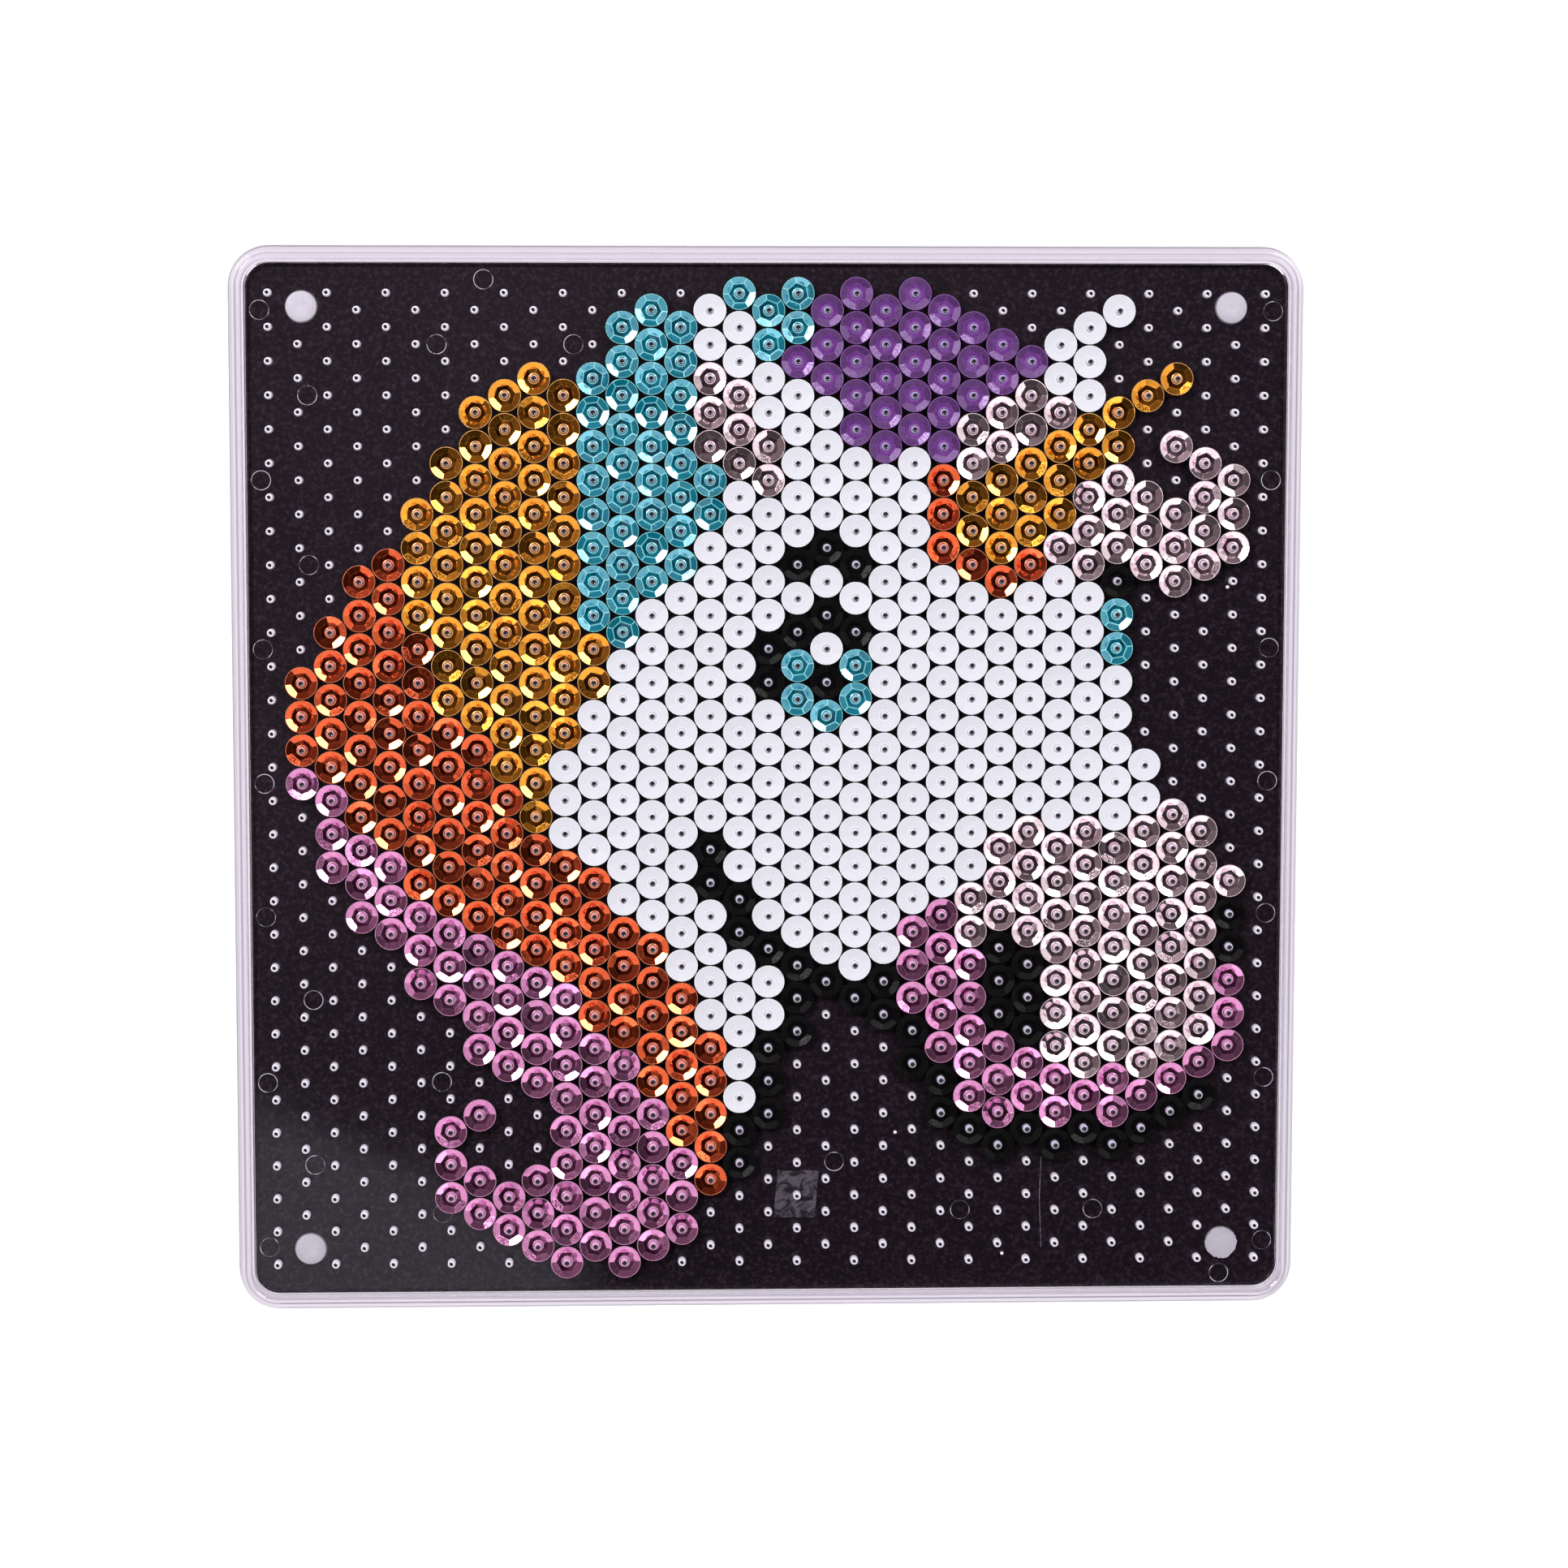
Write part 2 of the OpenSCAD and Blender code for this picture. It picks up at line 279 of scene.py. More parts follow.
FILMS = {
    "gold": film_material("gold_film", tint(242, 162, 56), tint(106, 34, 22), tint(236, 176, 108),
                          0.97, 0.08, mottle=0.85),
    "orange": film_material("orange_film", tint(228, 98, 58), tint(108, 22, 22), tint(228, 134, 96),
                            0.97, 0.08, mottle=0.85),
    "magenta": film_material("magenta_film", tint(214, 142, 190), tint(112, 22, 84), tint(222, 156, 200),
                             0.95, 0.1, mottle=0.85),
    "teal": film_material("teal_film", tint(0, 146, 172), tint(0, 66, 92), tint(150, 236, 242),
                          0.5, 0.1, mottle=0.9, coat=0.6, creases=0.9),
    # purple's outer facets get painted shade, at half the hub's tone
    "purple": film_material("purple_film", tint(118, 62, 146), tint(88, 40, 114), tint(138, 88, 164),
                            0.25, 0.3, mottle=0.6, outer=0.5),
    "pink": film_material("pink_film", tint(250, 228, 236), tint(124, 80, 98), tint(244, 214, 226),
                          0.96, 0.07, mottle=0.8),
    "black": film_material("black_film", tint(6, 5, 6), tint(3, 3, 4), tint(12, 11, 13),
                           0.0, 0.3, mottle=0.4, gloss=0.06),
    "white": film_material("white_film", tint(213, 213, 222), tint(208, 208, 217), tint(226, 226, 233),
                           0.0, 0.5, mottle=0.2, spread=0.05),
}


# ---------------------------------------------------------------- sequins

SIDES = 6
STEPS = 4  # points along each side of the hexagon
ROUNDED_RIM = 0.1 * MM
LIP_LIFT = 0.05 * MM
TIGHT_LIP = 0.08 * MM  # the width of a white sequin's lip
LOOSE_MM = 0.12  # how far a sequin may sit above the lowest place
TILT_DEGREES = 3.0
SLOPES = {  # of the sequins' facets in degrees, and how much they vary
    "gold": (22, 5), "orange": (22, 5), "magenta": (21, 5), "teal": (22, 5), "purple": (20, 3),
    "pink": (22, 5), "black": (20, 4), "white": (9, 2),
}


def hexagon_reach(points):
    """How far out each point is across the nearest hexagon side."""
    angles = np.radians([30, 90, 150])
    return np.abs(points @ np.array([np.cos(angles), np.sin(angles)])).max(1)


def sequin_rings():
    """The outlines that a sequin is built from: a circle of radius 1, and the hexagon round its hub."""
    count = SIDES * STEPS
    turn = np.arange(count) * 2 * math.pi / count
    round_ring = np.array([np.cos(turn), np.sin(turn)]).T
    corners = np.array([[math.cos(k * math.pi / 3), math.sin(k * math.pi / 3)] for k in range(SIDES + 1)])
    hexagon = np.array([corners[k] + (corners[k + 1] - corners[k]) * s / STEPS
                        for k in range(SIDES) for s in range(STEPS)])
    return round_ring, hexagon * HEX_R


def sequin_shape(slope, hub_slope, hole_r, lip_r):
    """Points of one sequin, ring by ring: its top from the hole outwards, and then its underside inwards."""
    round_ring, hexagon = sequin_rings()
    outlines = [round_ring * hole_r, round_ring * lip_r, hexagon, round_ring * (SEQUIN_R - ROUNDED_RIM),
                round_ring * SEQUIN_R, round_ring * SEQUIN_R, hexagon, round_ring * hole_r]
    lifts = [FILM_T + LIP_LIFT, FILM_T, FILM_T, FILM_T, FILM_T / 2, 0, 0, 0]
    rings = []
    for outline, lift in zip(outlines, lifts):
        reach = hexagon_reach(outline)
        height = np.minimum(reach, HEX_APOTHEM) * hub_slope + np.maximum(reach - HEX_APOTHEM, 0) * slope
        rings.append(np.column_stack([outline, height + lift]))
    return rings


def turned(points, spin, tilt, towards):
    """Points spun about Z, and then tilted about a level axis that points this way."""
    tilt_axis = Vector((math.cos(towards), math.sin(towards), 0))
    matrix = Matrix.Rotation(tilt, 3, tilt_axis) @ Matrix.Rotation(spin, 3, "Z")
    return points @ np.array(matrix).T


def sequin_piece(node, colour, body):
    """All sequins of one CAD node as one piece."""
    count = SIDES * STEPS
    hole_r, lip_r = (TIGHT_HOLE_R, TIGHT_HOLE_R + TIGHT_LIP) if colour == "white" else (HOLE_R, LIP_R)
    slope_degrees, slope_spread = SLOPES[colour]
    points, cups, faces = [], [], []
    for centre in sequin_centres(node):
        slope = math.tan(math.radians(slope_degrees + slope_spread * rng.uniform(-1, 1)))
        hub_slope = math.tan(math.radians(rng.uniform(*HUB_DEGREES)))
        rings = sequin_shape(slope, hub_slope, hole_r, lip_r)
        shape = np.concatenate(rings)
        seed = rng.uniform()
        cups.append(np.column_stack([shape[:, :2] / SEQUIN_R, np.full(len(shape), seed)]))
        shape = turned(shape, rng.uniform(0, math.pi / 3), math.radians(TILT_DEGREES) * rng.uniform(0, 1),
                       rng.uniform(0, 2 * math.pi))
        lift = sequin_low.z - shape[:, 2].min() + rng.uniform(0, LOOSE_MM) * MM
        shape += (*centre, lift)
        start = sum(len(p) for p in points)
        points.append(shape)
        for ring in range(len(rings)):
            upper, lower = start + ring * count, start + (ring + 1) % len(rings) * count
            for i in range(count):
                j = (i + 1) % count
                faces.append((upper + i, lower + i, lower + j, upper + j))
    name = node.replace("_sequins", "_cups")
    piece = mesh_piece(name, np.concatenate(points), faces, FILMS[colour], smooth=False)
    cup = piece.data.attributes.new("cup", "FLOAT_VECTOR", "POINT")
    cup.data.foreach_set("vector", np.concatenate(cups).astype(np.float32).ravel())
    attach(piece, body)
    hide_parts(node)


def mesh_piece(name, points, faces, material, smooth=True, sharp_degrees=40):
    """An object with this mesh and material."""
    mesh = bpy.data.meshes.new(name)
    mesh.from_pydata([tuple(p) for p in points], [], faces)
    mesh.validate()
    mesh.materials.append(material)
    if smooth:
        mesh.shade_smooth()
        mesh.set_sharp_from_angle(angle=math.radians(sharp_degrees))
    piece = bpy.data.objects.new(name, mesh)
    bpy.context.scene.collection.objects.link(piece)
    return piece


covered = []  # places of all the sequins
covered_colours = []  # and their colours, in the same order
for body, members in frame["record"]["behaviour"]["bodies"].items():
    for node in members:
        if node.endswith("_sequins"):
            colour = body.split("_")[0]
            sequin_piece(node, colour, body)
            centres = sequin_centres(node)
            covered.extend(centres)
            covered_colours.extend([colour] * len(centres))


# ---------------------------------------------------------------- clear plastic

PLASTIC_IOR = 1.49


def light_passes(tree):
    """1 for a ray that carries light to a surface, and 0 for others."""
    path = add(tree, "ShaderNodeLightPath").outputs
    return calc(tree, "MAXIMUM", path["Is Shadow Ray"], path["Is Diffuse Ray"])


def light_or(tree, shader):
    """This shader, which light on its way to a surface passes straight through."""
    see_through = add(tree, "ShaderNodeBsdfTransparent").outputs["BSDF"]
    return add(tree, "ShaderNodeMixShader", {0: light_passes(tree), 1: shader, 2: see_through}).outputs[0]


def tray_material():
    """Clear moulded plastic, through which what is under it is lit, tinted with the rim's painted shade and
    highlight.
    """
    made, tree = new_material("clear_tray")
    glass = add(tree, "ShaderNodeBsdfPrincipled", {
        "Base Color": rim_painted_shade(tree),
        "Transmission Weight": 1.0,
        "Roughness": band(tree, noise(tree, 900, 3.0), 0.35, 0.7, 0.018, 0.048),
        "IOR": PLASTIC_IOR,
        "Normal": bump(tree, noise(tree, 120, 2.0), 0.15, 0.1 * MM),
    }).outputs["BSDF"]
    surface(tree, light_or(tree, glass))
    return made


def pane_material():
    """A thin clear sheet: what is behind it shows straight through, under a soft gloss."""
    made, tree = new_material("clear_sheet")
    fresnel = add(tree, "ShaderNodeFresnel", {"IOR": PLASTIC_IOR}).outputs[0]
    rough = band(tree, noise(tree, 400, 3.0), 0.3, 0.7, 0.036, 0.09)
    shine = add(tree, "ShaderNodeBsdfGlossy", {"Color": (0.8, 0.78, 0.85, 1), "Roughness": rough}).outputs[0]
    see_through = add(tree, "ShaderNodeBsdfTransparent", {"Color": tint(250, 248, 253)}).outputs["BSDF"]
    surface(tree, add(tree, "ShaderNodeMixShader", {0: fresnel, 1: see_through, 2: shine}).outputs[0])
    return made


CORNER_R = 7.4 * MM
SIDE_GROWTH = 0.08 * MM  # the rim is this much wider than in the CAD model, on each side
corner_x = tray_high.x + SIDE_GROWTH - CORNER_R
corner_y = tray_high.y - CORNER_R


def corner_outline(reach, steps):
    """A closed outline round the tray, reach out from the centres of its corner curves."""
    outline = []
    for k, (side_x, side_y) in enumerate(((1, 1), (-1, 1), (-1, -1), (1, -1))):
        for i in range(steps + 1):
            turn = (k + i / steps) * math.pi / 2
            outline.append((side_x * corner_x + reach * math.cos(turn),
                            side_y * corner_y + reach * math.sin(turn)))
    return outline


def rounded_profile(corners, steps=3):
    """A profile whose corners, each (reach, height, rounding), are curved over their rounding."""
    line = []
    for i, (reach, height, rounding) in enumerate(corners):
        here = Vector((reach, height))
        before = Vector(corners[i - 1][:2]) - here
        after = Vector(corners[(i + 1) % len(corners)][:2]) - here
        if rounding == 0:
            line.append(here)
            continue
        start = here + before.normalized() * min(rounding, before.length * 0.45)
        end = here + after.normalized() * min(rounding, after.length * 0.45)
        for s in range(steps + 1):
            t = s / steps
            line.append(start * (1 - t) ** 2 + here * 2 * t * (1 - t) + end * t ** 2)
    return line


def swept(name, profile, material, steps=10):
    """A closed plate whose edge has this profile, from its top face round the outside to its bottom face."""
    rings = [[(x, y, p.y) for x, y in corner_outline(p.x, steps)] for p in profile]
    count = len(rings[0])
    points = [p for ring in rings for p in ring]
    faces = [tuple(range(count))]
    for r in range(len(rings) - 1):
        for i in range(count):
            j = (i + 1) % count
            faces.append((r * count + i, (r + 1) * count + i, (r + 1) * count + j, r * count + j))
    faces.append(tuple(reversed(range((len(rings) - 1) * count, len(rings) * count))))
    return mesh_piece(name, points, faces, material, sharp_degrees=35)


INNER = CORNER_R - 3.0 * MM
TOP = tray_high.z

tray_profile = rounded_profile([
    (INNER, FLOOR_TOP, 0.0),
    (INNER, TOP - 1.3 * MM, 0.2 * MM),
    (INNER + 0.6 * MM, TOP - 0.3 * MM, 0.25 * MM),
    (INNER + 1.2 * MM, TOP, 0.3 * MM),
    (INNER + 1.5 * MM, TOP - 0.3 * MM, 0.12 * MM),
    (CORNER_R - 0.95 * MM, TOP - 0.3 * MM, 0.2 * MM),
    (CORNER_R - 0.5 * MM, TOP - 0.85 * MM, 0.25 * MM),
    (CORNER_R - 0.5 * MM, 1.4 * MM, 0.15 * MM),
    (CORNER_R, 1.2 * MM, 0.2 * MM),
    (CORNER_R, 0.0, 0.15 * MM),
])

# Painted shade and highlight on the clear rim, from its outer edge (0) inwards, in millimetres: the dark
# bands stand in for its upright walls seen end on, and the grey band for the slope down to the window.
RIM_PAINTED_SHADES = [
    (0.0, tint(226, 222, 228)),
    (0.22, tint(176, 168, 180)),
    (0.42, tint(158, 150, 162)),
    (0.62, tint(226, 218, 232)),
    (1.25, tint(232, 225, 238)),
    (1.45, tint(196, 188, 203)),
    (1.62, tint(200, 192, 207)),
    (1.8, tint(232, 225, 238)),
    (2.05, tint(222, 214, 229)),
    (2.25, tint(198, 190, 209)),
    (2.68, tint(196, 189, 207)),
    (2.82, tint(250, 247, 253)),
    (3.0, tint(236, 230, 242)),
]


def rim_painted_shade(tree):
    """The rim's painted shade at a point's distance from the outer edge of the tray, whose corners are round.
    """
    place = add(tree, "ShaderNodeTexCoord").outputs["Object"]
    around = add(tree, "ShaderNodeVectorMath", {0: place}, operation="ABSOLUTE").outputs["Vector"]
    past = add(tree, "ShaderNodeVectorMath", {0: around, 1: (corner_x, corner_y, 0)}, operation="SUBTRACT")
    past = add(tree, "ShaderNodeVectorMath", {0: past.outputs["Vector"], 1: (0, 0, 0)}, operation="MAXIMUM")
    flat = add(tree, "ShaderNodeVectorMath", {0: past.outputs["Vector"], 1: (1, 1, 0)}, operation="MULTIPLY")
    length = add(tree, "ShaderNodeVectorMath", {0: flat.outputs["Vector"]}, operation="LENGTH")
    reach = length.outputs["Value"]
    span = RIM_PAINTED_SHADES[-1][0] * MM
    wander = band(tree, noise(tree, 60, 2.0), 0.3, 0.7, -0.02 * MM, 0.02 * MM)
    inwards = calc(tree, "ADD", calc(tree, "SUBTRACT", CORNER_R, reach), wander)
    ramp = add(tree, "ShaderNodeValToRGB", {"Fac": calc(tree, "DIVIDE", inwards, span)})
    stops = ramp.color_ramp.elements
    stops[0].color = RIM_PAINTED_SHADES[0][1]
    stops[1].color = RIM_PAINTED_SHADES[-1][1]
    for distance, colour in RIM_PAINTED_SHADES[1:-1]:
        stops.new(distance * MM / span).color = colour
    return ramp.outputs["Color"]


tray = swept("tray", tray_profile, tray_material())
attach(tray, "back_tray")
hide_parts("back_tray")


# ---------------------------------------------------------------- studs of the tray


def disc_rings(profile, count):
    """Rings of points round Z from (radius, height) pairs."""
    turn = np.arange(count) * 2 * math.pi / count
    return [np.column_stack([r * np.cos(turn), r * np.sin(turn), np.full(count, z)]) for r, z in profile]


def turned_solid(centres, profile, count, ring_shaped=False):
    """Closed solids of revolution, one at each centre: flat-ended, or rings with a closed profile."""
    shape = np.concatenate(disc_rings(profile, count))
    points, faces = [], []
    for n, centre in enumerate(centres):
        start = n * len(shape)
        points.append(shape + (*centre, 0))
        for ring in range(len(profile) if ring_shaped else len(profile) - 1):
            lower, upper = start + ring * count, start + (ring + 1) % len(profile) * count
            for i in range(count):
                j = (i + 1) % count
                faces.append((lower + i, lower + j, upper + j, upper + i))
        if not ring_shaped:
            faces.append(tuple(start + i for i in reversed(range(count))))
            faces.append(tuple(start + (len(profile) - 1) * count + i for i in range(count)))
    return np.concatenate(points), faces


STUD_DRAW_IN = 0.3 * MM  # the studs stand this much nearer the middle than in the CAD model
stud_places = np.array(stud_centres())
stud_places -= np.sign(stud_places) * STUD_DRAW_IN


def stud_material():
    """White, frosted plastic."""
    made, tree = new_material("stud_frost")
    cloud = noise(tree, 500, 3.0, 0.6, 1.5)
    surface(tree, add(tree, "ShaderNodeBsdfPrincipled", {
        "Base Color": blend(tree, band(tree, cloud, 0.35, 0.65), tint(250, 247, 251), tint(255, 254, 255)),
        "Roughness": band(tree, cloud, 0.3, 0.7, 0.35, 0.6),
        "Normal": bump(tree, cloud, 0.3, 0.1 * MM),
    }).outputs["BSDF"])
    return made


STUD_R = 2.75 * MM
points, faces = turned_solid(stud_places, [
    (STUD_R, FLOOR_TOP), (STUD_R, STUD_TOP - 0.2 * MM), (STUD_R - 0.06 * MM, STUD_TOP - 0.06 * MM),
    (STUD_R - 0.2 * MM, STUD_TOP), (0.8 * MM, STUD_TOP), (0.6 * MM, STUD_TOP - 0.06 * MM),
], 40)
studs = mesh_piece("studs", points, faces, stud_material())
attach(studs, "back_tray")


# ---------------------------------------------------------------- card


def punched_sheet(name, outline, holes, low, high, material):
    """A flat sheet from low to high, with an outline and holes, each a list of points."""
    made = bmesh.new()
    loops = [outline, *holes]
    for loop in loops:
        corners = [made.verts.new((x, y, high)) for x, y in loop]
        for i in range(len(corners)):
            made.edges.new((corners[i], corners[(i + 1) % len(corners)]))
    bmesh.ops.triangle_fill(made, edges=made.edges[:], use_beauty=True)
    bmesh.ops.recalc_face_normals(made, faces=made.faces[:])
    if made.faces[:][0].normal.z < 0:
        bmesh.ops.reverse_faces(made, faces=made.faces[:])
    top = made.faces[:]
    lower = bmesh.ops.duplicate(made, geom=made.verts[:] + made.edges[:] + top)
    new_faces = [g for g in lower["geom"] if isinstance(g, bmesh.types.BMFace)]
    new_verts = [g for g in lower["geom"] if isinstance(g, bmesh.types.BMVert)]
    bmesh.ops.translate(made, vec=(0, 0, low - high), verts=new_verts)
    bmesh.ops.reverse_faces(made, faces=new_faces)
    made.verts.index_update()
    made.verts.ensure_lookup_table()
    half = len(made.verts) // 2
    start = 0
    for loop in loops:
        count = len(loop)
        for i in range(count):
            a, b = start + i, start + (i + 1) % count
            made.faces.new((made.verts[a], made.verts[b], made.verts[half + b], made.verts[half + a]))
        start += count
    bmesh.ops.recalc_face_normals(made, faces=made.faces[:])
    mesh = bpy.data.meshes.new(name)
    made.to_mesh(mesh)
    made.free()
    mesh.materials.append(material)
    mesh.shade_smooth()
    mesh.set_sharp_from_angle(angle=math.radians(30))
    piece = bpy.data.objects.new(name, mesh)
    bpy.context.scene.collection.objects.link(piece)
    return piece


def round_hole(x, y, radius, steps=48):
    """A round hole's outline."""
    turns = [i * 2 * math.pi / steps for i in range(steps)]
    return [(x + radius * math.cos(turn), y + radius * math.sin(turn)) for turn in turns]


def card_material():
    """Black card with a brown-purple cast and a fine, paler grain."""
    made, tree = new_material("black_card")
    grain = noise(tree, 1200, 4.0, 0.85)
    cloud = noise(tree, 14, 3.0, 0.6)
    colour = blend(tree, band(tree, cloud, 0.3, 0.7), tint(15, 8, 12), tint(28, 18, 24))
    colour = blend(tree, band(tree, grain, 0.46, 0.68, 0.0, 0.8), colour, tint(84, 66, 76))
    surface(tree, add(tree, "ShaderNodeBsdfPrincipled", {
        "Base Color": colour,
        "Roughness": band(tree, grain, 0.3, 0.7, 0.6, 0.85),
        "Specular IOR Level": 0.25,
        "Normal": bump(tree, grain, 0.25, 0.04 * MM),
    }).outputs["BSDF"])
    return made


CARD_HOLE_R = 2.93 * MM
CARD_REACH = INNER - 0.06 * MM  # out from the centres of the corner curves
card_holes = [round_hole(x, y, CARD_HOLE_R) for x, y in stud_places]
card = punched_sheet("card", corner_outline(CARD_REACH, 8), card_holes, card_low.z, card_high.z,
                     card_material())
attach(card, "card")
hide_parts("card_insert")


# ---------------------------------------------------------------- pin board

def pin_material():
    """Clear plastic, milky in the fine pins, with a painted dark core down from each tip and the sequin's
    colour painted in as a reflection.
    """
    made, tree = new_material("milky_pins")
    cloud = noise(tree, 1500, 2.0)
    core = add(tree, "ShaderNodeAttribute", attribute_name="core").outputs["Fac"]
    pin_tint_and_reflection = add(tree, "ShaderNodeAttribute", attribute_name="pin_tint_and_reflection").outputs["Color"]
    milk_and_reflection = blend(tree, calc(tree, "MULTIPLY", cloud, 0.3), pin_tint_and_reflection, tint(250, 248, 254))
    shine = add(tree, "ShaderNodeBsdfPrincipled", {
        "Base Color": blend(tree, band(tree, core, 0.15, 0.75), milk_and_reflection, tint(34, 28, 36)),
        "Roughness": band(tree, cloud, 0.3, 0.7, 0.08, 0.18),
        "IOR": 1.5,
    }).outputs["BSDF"]
    surface(tree, light_or(tree, shine))
    return made


plate_profile = rounded_profile([
    (INNER - 0.35 * MM, PLATE_TOP, 0.0),
    (INNER - 0.2 * MM, PLATE_TOP, 0.1 * MM),
    (INNER - 0.2 * MM, plate_low.z, 0.1 * MM),
    (INNER - 0.35 * MM, plate_low.z, 0.0),
])
plate = swept("pin_sheet", plate_profile, pane_material())
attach(plate, "pin_board")
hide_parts("pin_plate")

PIN_R = 0.74 * MM
BARE_PIN_MILK = tint(236, 232, 244)
# Painted reflection: a pin inside a sequin is tinted with that sequin's colour, as a set tint
PIN_SEQUIN_REFLECTIONS = {  # a pin takes on the colour of the sequin round it
    "gold": tint(240, 178, 138), "orange": tint(244, 156, 152), "pink": tint(235, 206, 230),
    "magenta": tint(240, 176, 228), "teal": tint(140, 208, 234), "purple": tint(190, 168, 236),
    "black": tint(220, 213, 242), "white": tint(236, 232, 246),
}
PIN_SIDES = 14
pin_profile = [
    (PIN_R, PLATE_TOP - 0.05 * MM), (PIN_R, PLATE_TOP + 0.1 * MM), (PIN_R - 0.03 * MM, PIN_TOP - 0.42 * MM),
    (PIN_R - 0.12 * MM, PIN_TOP - 0.18 * MM), (PIN_R - 0.28 * MM, PIN_TOP),
    (PIN_R - 0.46 * MM, PIN_TOP - 0.1 * MM),
]
pin_places = pin_centres()
points, faces = turned_solid(pin_places, pin_profile, PIN_SIDES)

# Each pin's tip has a dimple: a small slanted nick on a bare pin, a wider one on a pin inside a sequin, which
# also gets a wider painted dark core.
slant = np.array([math.cos(math.radians(-42)), math.sin(math.radians(-42))])
to_sequins = np.linalg.norm(pin_places[:, None] - np.array(covered)[None], axis=2)
bare = (to_sequins.min(1) > PITCH / 4)[:, None, None]
nearest = to_sequins.argmin(1)
rings_of_pin = points.reshape(len(pin_places), len(pin_profile), PIN_SIDES, 3)
dimple = rings_of_pin[:, -1, :, :2] - pin_places[:, None]
nick = dimple * 0.5 + (dimple @ slant)[..., None] * slant * 0.5 - slant * 0.12 * MM
rings_of_pin[:, -1, :, :2] = pin_places[:, None] + np.where(bare, nick, dimple * 1.2)
pins = mesh_piece("pins", points, faces, pin_material(), sharp_degrees=60)
# Painted shade: a dark core on each tip, standing in for the dark seen down the clear pin; wider on pins
# inside sequins
core = np.zeros(rings_of_pin.shape[:3], np.float32)
core[:, -1] = 1
core[:, -2] = np.where(bare[:, 0], 0, 0.45)
core[:, -3] = np.where(bare[:, 0], 0, 0.15)
pins.data.attributes.new("core", "FLOAT", "POINT").data.foreach_set("value", core.ravel())
# Painted reflection for pins inside sequins; bare pins get the milk's own tint
pin_tints_and_reflections = [BARE_PIN_MILK if is_bare else PIN_SEQUIN_REFLECTIONS[covered_colours[n]] for is_bare, n in zip(bare.ravel(), nearest)]
pin_tint_and_reflection = np.repeat(np.array(pin_tints_and_reflections, np.float32), len(pin_profile) * PIN_SIDES, axis=0)
pins.data.attributes.new("pin_tint_and_reflection", "FLOAT_COLOR", "POINT").data.foreach_set("color", pin_tint_and_reflection.ravel())
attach(pins, "pin_board")


# ---------------------------------------------------------------- marks on the board


def faint_material(name, colour, low, high, scale):
    """Something seen only faintly, between these opacities."""
    made, tree = new_material(name)
    patches = band(tree, noise(tree, scale, 3.0, 0.65, 1.0), 0.42, 0.62, low, high)
    solid = add(tree, "ShaderNodeBsdfPrincipled", {"Base Color": colour, "Roughness": 0.3}).outputs["BSDF"]
    see_through = add(tree, "ShaderNodeBsdfTransparent").outputs["BSDF"]
    surface(tree, add(tree, "ShaderNodeMixShader", {0: patches, 1: see_through, 2: solid}).outputs[0])
    return made


EJECTOR_R = 1.7 * MM
EJECTOR_ROWS = {  # by pin column: the rows beside which a moulding pin left its ring
    -0.3: (0.5, 5.5, 10.5, 14.5, 18.5, 23.5, 28.5), 34.3: (0.5, 5.5, 10.5, 14.5, 18.5, 23.5, 28.5),
    1.3: (3, 8, 21, 26), 5.7: (1.5, 23.5, 27.5), 7.3: (-0.4,), 10.35: (1.5,),
    19.3: (26,), 23.7: (27.5,), 28.35: (27.5,), 32.8: (29.5,),
}
ejector_places = [peg_place(column, row) for column, rows in EJECTOR_ROWS.items() for row in rows]
points, faces = turned_solid(ejector_places, [
    (EJECTOR_R - 0.07 * MM, PLATE_TOP - 0.02 * MM), (EJECTOR_R + 0.07 * MM, PLATE_TOP - 0.02 * MM),
    (EJECTOR_R + 0.05 * MM, PLATE_TOP + 0.03 * MM), (EJECTOR_R - 0.05 * MM, PLATE_TOP + 0.03 * MM),
], 40, ring_shaped=True)
ejector_marks = mesh_piece("ejector_marks", points, faces,
                           faint_material("moulding_mark", tint(214, 208, 222), 0.05, 0.75, 260))
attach(ejector_marks, "pin_board")


def flat_patch(name, outline, face, thickness, material, body):
    """A thin patch on a flat face at this height."""
    count = len(outline)
    points = [(x, y, z) for z in (face - 0.01 * MM, face + thickness) for x, y in outline]
    sides = [(i, (i + 1) % count, count + (i + 1) % count, count + i) for i in range(count)]
    faces = [tuple(reversed(range(count))), tuple(range(count, 2 * count)), *sides]
    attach(mesh_piece(name, points, faces, material, smooth=False), body)


# A leaning patch of residue with uneven edges
RESIDUE_X, RESIDUE_Y = 5.1 * MM, -74.9 * MM
RESIDUE_HALF_X, RESIDUE_HALF_Y, RESIDUE_LEAN = 3.9 * MM, 4.4 * MM, 0.4 * MM
RESIDUE_STEPS = 8  # points along each side
residue_outline = []
for side_x, side_y in ((-1, -1), (1, -1), (1, 1), (-1, 1)):
    for step in range(RESIDUE_STEPS):
        spot = Vector((side_x, side_y)).lerp(Vector((-side_y, side_x)), step / RESIDUE_STEPS)
        spot = spot * (1 - rng.uniform(0, 0.07))
        residue_outline.append((RESIDUE_X + spot.x * RESIDUE_HALF_X + spot.y * RESIDUE_LEAN,
                                RESIDUE_Y + spot.y * RESIDUE_HALF_Y))
flat_patch("tape_residue", residue_outline, PLATE_TOP, 0.02 * MM,
           faint_material("dull_residue", tint(150, 142, 156), 0.02, 0.2, 420), "pin_board")

scratch = [(49.5, -68.5), (49.2, -76.0), (49.6, -85.0), (49.68, -85.0), (49.3, -76.0), (49.56, -68.5)]
flat_patch("scratch", [(x * MM, y * MM) for x, y in scratch], PLATE_TOP, 0.015 * MM,
           faint_material("pale_scratch", tint(190, 180, 196), 0.15, 0.5, 700), "pin_board")

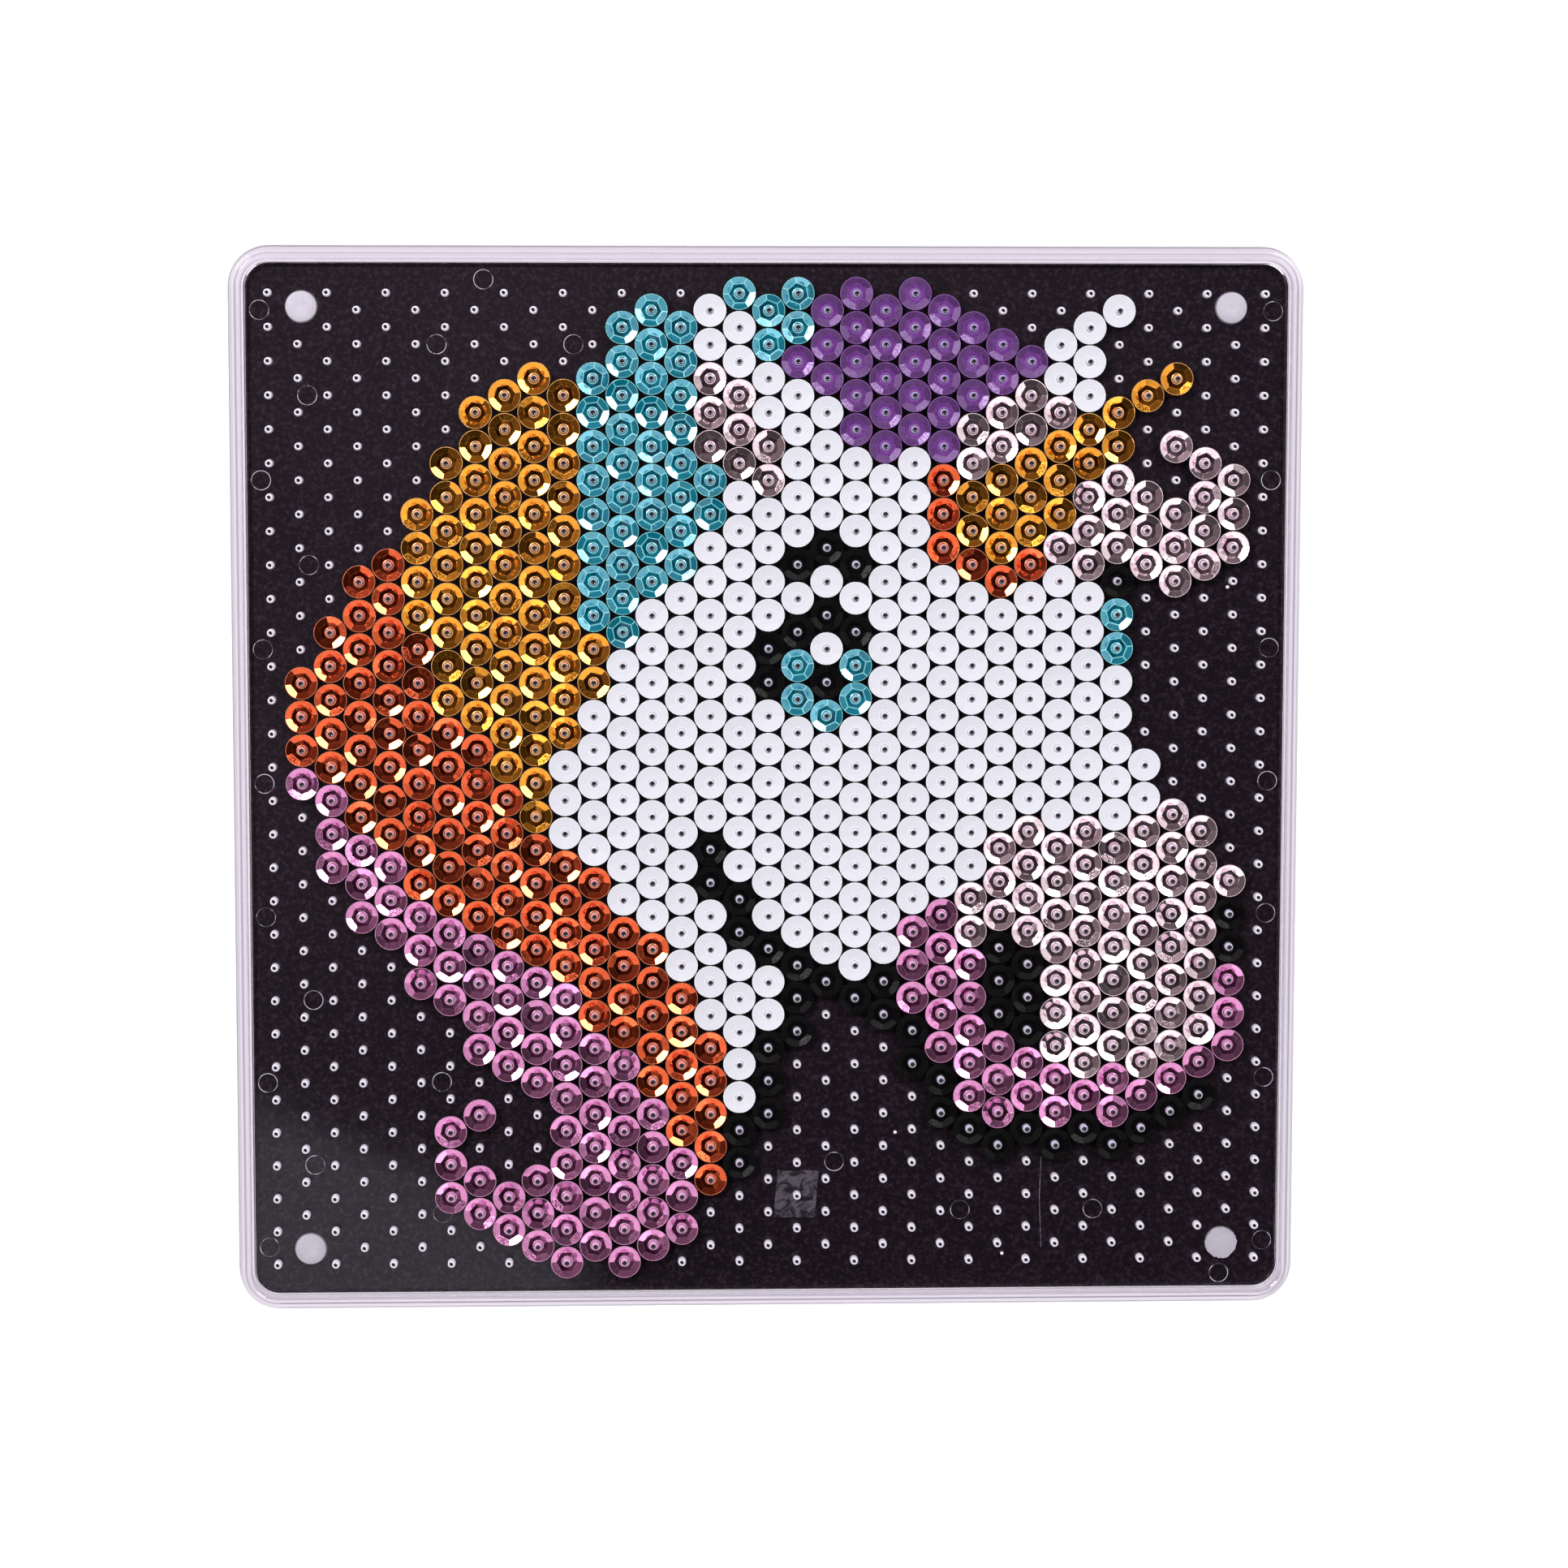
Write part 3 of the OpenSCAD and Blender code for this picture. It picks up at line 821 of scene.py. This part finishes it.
# The stud at the front right ends in a torn, frosted blob.
blob_x, blob_y = next(place for place in stud_places if place[0] > 0 > place[1])
BLOB_POINTS = 44
blob = []
for i in range(BLOB_POINTS):
    turn = i * 2 * math.pi / BLOB_POINTS
    reach = STUD_R + rng.uniform(-0.05, 0.22) * MM
    blob.append((blob_x + reach * math.cos(turn), blob_y + reach * math.sin(turn)))
flat_patch("stud_blob", blob, STUD_TOP, 0.04 * MM, stud_material(), "back_tray")

speck_places = [(82.3 * MM, 34.9 * MM), (42.5 * MM, -86.1 * MM), (23.0 * MM, -63.7 * MM)]
points, faces = turned_solid(speck_places, [
    (0.3 * MM, PLATE_TOP - 0.01 * MM), (0.3 * MM, PLATE_TOP + 0.05 * MM), (0.18 * MM, PLATE_TOP + 0.12 * MM),
], 12)
dust = mesh_piece("dust_specks", points, faces,
                  faint_material("pale_dust", tint(240, 238, 244), 0.8, 1.0, 2000))
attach(dust, "pin_board")


# ---------------------------------------------------------------- floor, light and camera


def floor_material():
    """Plain pale floor with a hint of unevenness."""
    made, tree = new_material("studio_floor")
    surface(tree, add(tree, "ShaderNodeBsdfPrincipled", {
        "Base Color": blend(tree, noise(tree, 3), (0.91, 0.91, 0.91, 1), (0.93, 0.93, 0.93, 1)),
        "Roughness": 0.9,
        "Specular IOR Level": 0.0,
        "Emission Color": (1, 1, 1, 1),
        "Emission Strength": 0.12,
    }).outputs["BSDF"])
    return made


FLOOR_HALF = 6.0
FLOOR_Z = -0.1 * MM  # just under the tray
floor_corners = [(x * FLOOR_HALF, y * FLOOR_HALF, FLOOR_Z) for x, y in ((-1, -1), (1, -1), (1, 1), (-1, 1))]
floor = mesh_piece("studio_floor", floor_corners, [(0, 1, 2, 3)], floor_material(), smooth=False)


LAMP_DISTANCE = 2.0


def softbox(name, azimuth, elevation, width, height, radiance):
    """A rectangular lamp that faces the object. Azimuth is counted from +X towards +Y, in degrees."""
    turn, rise = math.radians(azimuth), math.radians(elevation)
    out = Vector((math.cos(turn) * math.cos(rise), math.sin(turn) * math.cos(rise), math.sin(rise)))
    lamp = bpy.data.lights.new(name, "AREA")
    lamp.shape = "RECTANGLE"
    lamp.size, lamp.size_y = width, height
    lamp.energy = radiance * math.pi * width * height
    holder = bpy.data.objects.new(name, lamp)
    holder.location = out * LAMP_DISTANCE
    holder.rotation_euler = out.to_track_quat("Z", "Y").to_euler()
    holder.visible_camera = False
    bpy.context.scene.collection.objects.link(holder)


softbox("key_left", 140, 50, 0.55, 0.55, 30.0)
softbox("key_right", 46, 50, 0.62, 0.62, 14.5)
softbox("left_panel", -135, 40, 1.5, 0.8, 1.25)
softbox("front_panel", -85, 40, 1.6, 0.8, 1.4)
softbox("side_panel", -35, 40, 1.6, 0.8, 1.4)
softbox("right_panel", 14, 40, 1.4, 0.65, 1.0)
# Its reflection in the clear sheet lightens the bottom left of the board
softbox("front_veil", -112, 69.6, 0.3, 0.47, 0.5)


def studio_world():
    """A dim room for reflections, brightest to the back left. The camera sees white instead."""
    world = bpy.data.worlds.new("studio")
    world.use_nodes = True
    tree = world.node_tree
    tree.nodes.clear()
    direction = add(tree, "ShaderNodeTexCoord").outputs["Generated"]
    backwards = (-math.sqrt(0.5), math.sqrt(0.5), 0)
    along = add(tree, "ShaderNodeVectorMath", {0: direction, 1: backwards}, operation="DOT_PRODUCT")
    side = along.outputs["Value"]
    room = calc(tree, "ADD", band(tree, side, -0.15, 0.05, 0.012, 0.1), band(tree, side, 0.3, 0.7, 0.0, 0.16))
    clutter = add(tree, "ShaderNodeTexNoise", {"Vector": direction, "Scale": 7.0, "Detail": 3.0})
    strength = calc(tree, "MULTIPLY", room, band(tree, clutter.outputs["Fac"], 0.35, 0.65, 0.45, 1.5))
    room_light = {"Color": (1.0, 0.78, 0.84, 1), "Strength": strength}
    around = add(tree, "ShaderNodeBackground", room_light).outputs[0]
    seen = add(tree, "ShaderNodeBackground", {"Color": (1, 1, 1, 1), "Strength": 1.0}).outputs[0]
    camera_ray = add(tree, "ShaderNodeLightPath").outputs["Is Camera Ray"]
    both = add(tree, "ShaderNodeMixShader", {0: camera_ray, 1: around, 2: seen}).outputs[0]
    add(tree, "ShaderNodeOutputWorld", {"Surface": both})
    return world


bpy.context.scene.world = studio_world()
bpy.context.scene.view_settings.view_transform = "Standard"
bpy.context.scene.view_settings.look = "None"

CAMERA_PLACE = Vector((-27.68 * MM, 74.95 * MM, 742.8 * MM + PIN_TOP))
CAMERA_AIM = Vector((2.74 * MM, -0.12 * MM, PIN_TOP))
CAMERA_ROLL = math.radians(0.0555)
lens = bpy.data.cameras.new("camera")
lens.sensor_width = 36
lens.lens = 95.98
camera = bpy.data.objects.new("camera", lens)
back = (CAMERA_PLACE - CAMERA_AIM).normalized()
right = Vector((0, 1, 0)).cross(back).normalized()
upright = Matrix((right, back.cross(right), back)).transposed().to_4x4()
camera.matrix_world = Matrix.Translation(CAMERA_PLACE) @ upright @ Matrix.Rotation(CAMERA_ROLL, 4, "Z")
bpy.context.scene.collection.objects.link(camera)
bpy.context.scene.camera = camera
